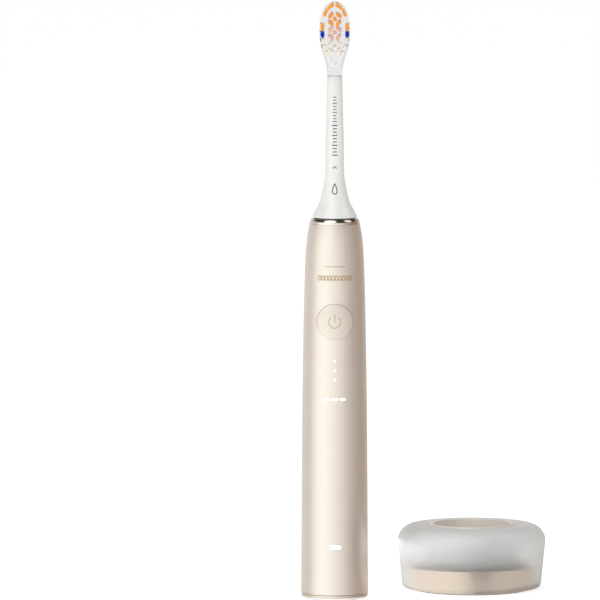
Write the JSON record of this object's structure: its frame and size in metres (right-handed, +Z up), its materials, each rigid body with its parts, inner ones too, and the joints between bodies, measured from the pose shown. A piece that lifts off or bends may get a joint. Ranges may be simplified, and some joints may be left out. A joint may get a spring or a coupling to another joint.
{
  "type": "electric toothbrush with charger",
  "caption": "Slim sonic toothbrush with a round handle, push button and clear brush plate, standing beside a frosted round charger with a deep metal-lined well.",
  "frame": {"origin": "centre of the handle's foot, on the table", "axes": "+Z up along the handle; -Y the front, where the bristles and the button face; +X towards the charger"},
  "size_m": [0.1033, 0.0752, 0.2501],
  "materials": {
    "handle_shell": "pearl metallic lacquer",
    "top_trim_ring": "polished",
    "shaft_seal": "soft matt",
    "mode_lights": "clear light guide",
    "status_lights": "clear light guide",
    "battery_light": "clear light guide",
    "end_ring": "metallic lacquer",
    "light_ring": "milky translucent",
    "end_cap": "moulded",
    "end_cap_seal": "soft",
    "power_button": "soft-touch metallic lacquer",
    "power_icon": "inlaid mark",
    "button_gasket": "soft",
    "switch_body": "moulded",
    "switch_plunger": "moulded",
    "inner_frame": "moulded",
    "upper_bush": "sintered",
    "lower_bush": "sintered",
    "main_board": "solder mask",
    "board_parts": "moulded",
    "frame_screws": "zinc plated",
    "battery_cell": "shrink sleeve",
    "battery_contacts": "nickel plated",
    "receiver_coil": "enamelled copper",
    "receiver_ferrite": "sintered",
    "drive_shaft": "ground",
    "spring_hub": "moulded",
    "drive_spring": "spring steel",
    "rotor_yoke": "plated",
    "rotor_magnets": "nickel plated",
    "stator_core": "laminated steel",
    "stator_coil": "enamelled copper",
    "motor_pad": "soft",
    "tag_reader_coil": "enamelled copper",
    "neck_body": "gloss white",
    "shaft_socket": "moulded",
    "grip_clip": "spring steel",
    "sync_tag": "laminated tag",
    "head_plate": "clear plastic",
    "tufts_outer_amber": "nylon bristles",
    "tufts_blue": "nylon bristles",
    "tufts_outer_pearl": "nylon bristles",
    "tufts_cross_amber": "nylon bristles",
    "tufts_cross_pink": "nylon bristles",
    "tufts_cross_pearl": "nylon bristles",
    "charger_body": "frosted translucent",
    "base_cup": "metallic champagne lacquer",
    "well_liner": "polished",
    "charging_pad": "fine matt",
    "primary_coil": "enamelled copper",
    "coil_ferrite": "sintered",
    "charger_board": "solder mask",
    "charger_parts": "moulded",
    "base_plate": "moulded",
    "charger_screws": "zinc plated",
    "foot_ring": "soft matt",
    "cable_gland": "soft matt"
  },
  "bodies": {
    "charger": {"charger_body": "charger_body", "base_cup": "base_cup", "well_liner": "well_liner", "charging_pad": "charging_pad", "primary_coil": "primary_coil", "coil_ferrite": "coil_ferrite", "charger_board": "charger_board", "charger_parts": "charger_parts", "base_plate": "base_plate", "charger_screws": "charger_screws", "foot_ring": "foot_ring", "cable_gland": "cable_gland"},
    "handle": {"handle_shell": "handle_shell", "top_trim_ring": "top_trim_ring", "shaft_seal": "shaft_seal", "mode_lights": "mode_lights", "status_lights": "status_lights", "battery_light": "battery_light", "end_ring": "end_ring", "light_ring": "light_ring", "end_cap": "end_cap", "end_cap_seal": "end_cap_seal", "button_gasket": "button_gasket", "switch_body": "switch_body", "inner_frame": "inner_frame", "upper_bush": "upper_bush", "lower_bush": "lower_bush", "main_board": "main_board", "board_parts": "board_parts", "frame_screws": "frame_screws", "battery_cell": "battery_cell", "battery_contacts": "battery_contacts", "receiver_coil": "receiver_coil", "receiver_ferrite": "receiver_ferrite", "stator_core": "stator_core", "stator_coil": "stator_coil", "motor_pad": "motor_pad", "tag_reader_coil": "tag_reader_coil"},
    "drive": {"drive_shaft": "drive_shaft", "spring_hub": "spring_hub", "drive_spring": "drive_spring", "rotor_yoke": "rotor_yoke", "rotor_magnets": "rotor_magnets"},
    "brush_head": {"neck_body": "neck_body", "shaft_socket": "shaft_socket", "grip_clip": "grip_clip", "sync_tag": "sync_tag", "head_plate": "head_plate", "tufts_outer_amber": "tufts_outer_amber", "tufts_blue": "tufts_blue", "tufts_outer_pearl": "tufts_outer_pearl", "tufts_cross_amber": "tufts_cross_amber", "tufts_cross_pink": "tufts_cross_pink", "tufts_cross_pearl": "tufts_cross_pearl"},
    "button": {"power_button": "power_button", "power_icon": "power_icon", "switch_plunger": "switch_plunger"}
  },
  "joints": [
    {"name": "handle_lift", "type": "slide", "parent": "charger", "child": "handle", "axis": [0, 0, 1], "range_m": [0, 0.08]},
    {"name": "shaft_sweep", "type": "hinge", "parent": "handle", "child": "drive", "pos_m": [0, 0, 0.14], "axis": [0, 0, 1], "range_deg": [-5, 5], "stiffness_Nm_per_rad": 0.05, "deforming": ["drive_spring"]},
    {"name": "head_pull", "type": "slide", "parent": "drive", "child": "brush_head", "axis": [0, 0, 1], "range_m": [0, 0.026]},
    {"name": "button_press", "type": "slide", "parent": "handle", "child": "button", "axis": [0, 1, 0], "range_m": [0, 0.0006], "stiffness_N_per_m": 2500}
  ]
}
